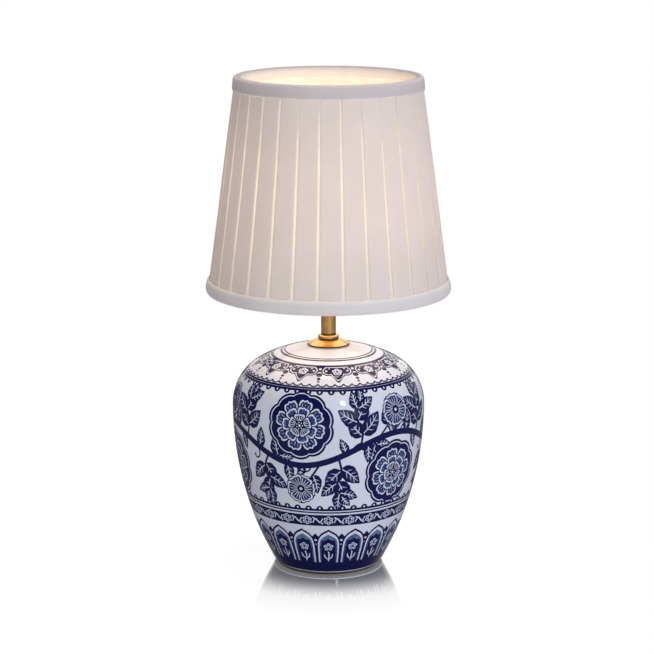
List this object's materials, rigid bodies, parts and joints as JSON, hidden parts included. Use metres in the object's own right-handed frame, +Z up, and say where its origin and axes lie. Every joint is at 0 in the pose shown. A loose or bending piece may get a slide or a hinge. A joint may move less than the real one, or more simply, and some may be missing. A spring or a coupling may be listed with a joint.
{
  "type": "table lamp",
  "caption": "Small table lamp: a blue and white porcelain ginger jar on a felt base, brass stem, screw lampholder with opal bulb, and a pleated ivory cloth shade.",
  "frame": {"origin": "on the table under the middle of the jar's foot", "axes": "+Z up along the stem, the front faces -Y, and the cord inlet is at the back on +Y"},
  "size_m": [0.1648, 0.1648, 0.3334],
  "materials": {
    "printed_porcelain": "glossy white glaze with a cobalt blue underglaze pattern, bare at the foot",
    "felt": "pressed wool felt",
    "inlet_rubber": "matt moulded bush",
    "brass": "polished and lacquered",
    "seal_rubber": "matt cut ring",
    "zinc_steel": "bright zinc plate",
    "bush_plastic": "moulded",
    "holder_plastic": "ivory moulding, half gloss",
    "core_ceramic": "unglazed steatite",
    "contact_metal": "stamped, dull",
    "cap_metal": "nickel plated, rolled thread",
    "black_glass": "opaque black glass",
    "opal_glass": "lit opal glass",
    "clear_glass": "clear",
    "frame_wire": "white dipped wire",
    "lining": "thin smooth lining, lit from inside",
    "pleated_cloth": "fine woven ivory cloth, pleated",
    "binding_cloth": "fine woven ivory cloth, folded over"
  },
  "bodies": {
    "lamp": {"jar_body": "printed_porcelain", "base_felt": "felt", "cord_inlet": "inlet_rubber", "stem_tube": "brass", "neck_gasket": "seal_rubber", "vase_cap": "brass", "cap_collar": "brass", "clamp_washer": "zinc_steel", "spring_washer": "zinc_steel", "stem_nut": "zinc_steel", "stem_end_bush": "bush_plastic", "holder_cap": "brass", "locking_screw": "zinc_steel", "holder_core": "core_ceramic", "terminal_screws": "contact_metal", "holder_skirt": "holder_plastic", "screw_shell": "contact_metal", "centre_contact": "contact_metal"},
    "bulb": {"bulb_contact": "cap_metal", "bulb_insulator": "black_glass", "bulb_cap": "cap_metal", "bulb_glass": "opal_glass", "bulb_stem": "clear_glass", "bulb_filament": "cap_metal"},
    "ring": {"shade_ring": "holder_plastic"},
    "shade": {"fitter_ring": "frame_wire", "fitter_arms": "frame_wire", "top_wire_ring": "frame_wire", "foot_wire_ring": "frame_wire", "frame_ribs": "frame_wire", "shade_lining": "lining", "pleated_cover": "pleated_cloth", "top_binding": "binding_cloth", "foot_binding": "binding_cloth"}
  },
  "joints": [
    {"name": "shade_turn", "type": "hinge", "parent": "lamp", "child": "shade", "pos_m": [0, 0, 0.2194], "axis": [0, 0, 1], "continuous": true},
    {"name": "ring_unscrew", "type": "slide", "parent": "lamp", "child": "ring", "axis": [0, 0, 1], "range_m": [0, 0.024]},
    {"name": "bulb_unscrew", "type": "slide", "parent": "lamp", "child": "bulb", "axis": [0, 0, 1], "range_m": [0, 0.03]}
  ]
}
